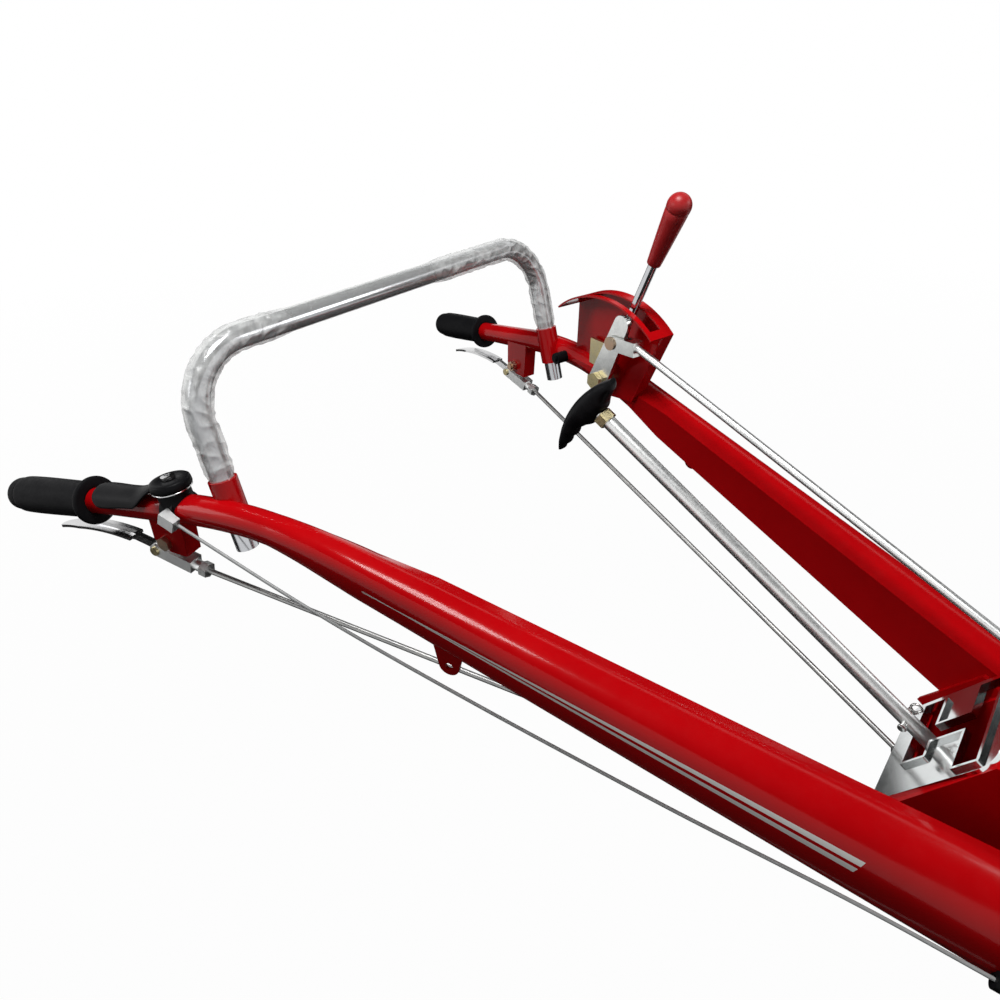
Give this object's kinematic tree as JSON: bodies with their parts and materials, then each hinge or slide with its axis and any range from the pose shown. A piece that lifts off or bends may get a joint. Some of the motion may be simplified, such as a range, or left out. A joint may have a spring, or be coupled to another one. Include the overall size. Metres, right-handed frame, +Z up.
{
  "type": "walk-behind tractor handlebar",
  "caption": "Handlebar assembly of a walk-behind tractor: tapered arms with grips, cross bar, clutch and steering levers with rods, thumb throttle and gated gear lever on a bolt-down base.",
  "frame": {"origin": "centre of the four base bolts, on the underside of the base flange", "axes": "+X forward to the gearbox, +Y to the operator's left, +Z up"},
  "size_m": [1.0155, 0.673, 0.466],
  "materials": {
    "red_paint": "gloss",
    "chrome_plate": "polished",
    "zinc_plate": "satin",
    "yellow_zinc": "satin",
    "black_rubber": "matte",
    "black_plastic": "satin",
    "red_plastic": "gloss",
    "grey_sheath": "satin"
  },
  "bodies": {
    "frame": {"arm_left": "red_paint", "arm_right": "red_paint", "base_flange": "red_paint", "base_tower": "red_paint", "cable_clip": "black_plastic", "cable_ear_left": "red_paint", "cable_ear_right": "red_paint", "cable_stop": "zinc_plate", "cheek_left": "red_paint", "cheek_right": "red_paint", "clutch_bolt": "yellow_zinc", "cross_bar": "chrome_plate", "gate_plate": "chrome_plate", "gear_pin": "zinc_plate", "grip_left": "black_rubber", "grip_right": "black_rubber", "hanger_left": "red_paint", "hanger_right": "red_paint", "lever_bolt_left": "yellow_zinc", "lever_bolt_right": "yellow_zinc", "lever_strap": "yellow_zinc", "quadrant": "red_paint", "socket_left": "red_paint", "socket_right": "red_paint", "stop_switch": "black_plastic", "throttle_cable": "grey_sheath", "throttle_housing": "black_plastic"},
    "steer_left": {"steer_lever_left": "zinc_plate"},
    "steer_right": {"steer_lever_right": "zinc_plate"},
    "link_left": {"rod_fork_left": "zinc_plate", "rod_pin_left": "yellow_zinc", "steer_rod_left": "zinc_plate"},
    "link_right": {"rod_fork_right": "zinc_plate", "rod_pin_right": "yellow_zinc", "steer_rod_right": "zinc_plate"},
    "clutch": {"clutch_plate": "zinc_plate", "clutch_stem": "chrome_plate", "clutch_knob": "red_plastic"},
    "clutch_link": {"clutch_fork": "zinc_plate", "clutch_pin": "yellow_zinc", "clutch_rod": "zinc_plate"},
    "throttle": {"throttle_thumb": "black_plastic"},
    "gear": {"gear_stem": "chrome_plate", "gear_nut": "yellow_zinc", "gear_knob": "black_plastic"}
  },
  "joints": [
    {"name": "steer_left", "type": "hinge", "parent": "frame", "child": "steer_left", "pos_m": [-0.7705, 0.26696, 0.19525], "axis": [0.2521, 0.9677, 0], "range_deg": [0, 4], "stiffness_Nm_per_rad": 6, "springref_deg": -8.59},
    {"name": "steer_right", "type": "hinge", "parent": "frame", "child": "steer_right", "pos_m": [-0.7705, -0.26696, 0.19525], "axis": [-0.2521, 0.9677, 0], "range_deg": [0, 4], "stiffness_Nm_per_rad": 6, "springref_deg": -8.59},
    {"name": "link_left", "type": "hinge", "parent": "steer_left", "child": "link_left", "pos_m": [-0.79082, 0.27226, 0.17786], "axis": [0.2521, 0.9677, 0], "range_deg": [-4, 0]},
    {"name": "link_right", "type": "hinge", "parent": "steer_right", "child": "link_right", "pos_m": [-0.79082, -0.27226, 0.17786], "axis": [-0.2521, 0.9677, 0], "range_deg": [-4, 0]},
    {"name": "clutch", "type": "hinge", "parent": "frame", "child": "clutch", "pos_m": [-0.59634, 0.1937, 0.24503], "axis": [0.2521, 0.9677, 0], "range_deg": [-40, 13]},
    {"name": "clutch_link", "type": "hinge", "parent": "clutch", "child": "clutch_link", "pos_m": [-0.57586, 0.18836, 0.29795], "axis": [0.2521, 0.9677, 0], "range_deg": [-13, 40]},
    {"name": "throttle", "type": "hinge", "parent": "frame", "child": "throttle", "pos_m": [-0.7453, -0.26453, 0.23689], "axis": [-0.1764, -0.0459, 0.9833], "range_deg": [0, 45]},
    {"name": "gear", "type": "hinge", "parent": "frame", "child": "gear", "pos_m": [-0.02626, 0.008, 0.04134], "axis": [0, 1, 0], "range_deg": [0, 18.5]}
  ],
  "couplings": [
    {"joint": "link_left", "follows": "steer_left", "ratio": -1},
    {"joint": "link_right", "follows": "steer_right", "ratio": -1},
    {"joint": "clutch_link", "follows": "clutch", "ratio": -1}
  ]
}
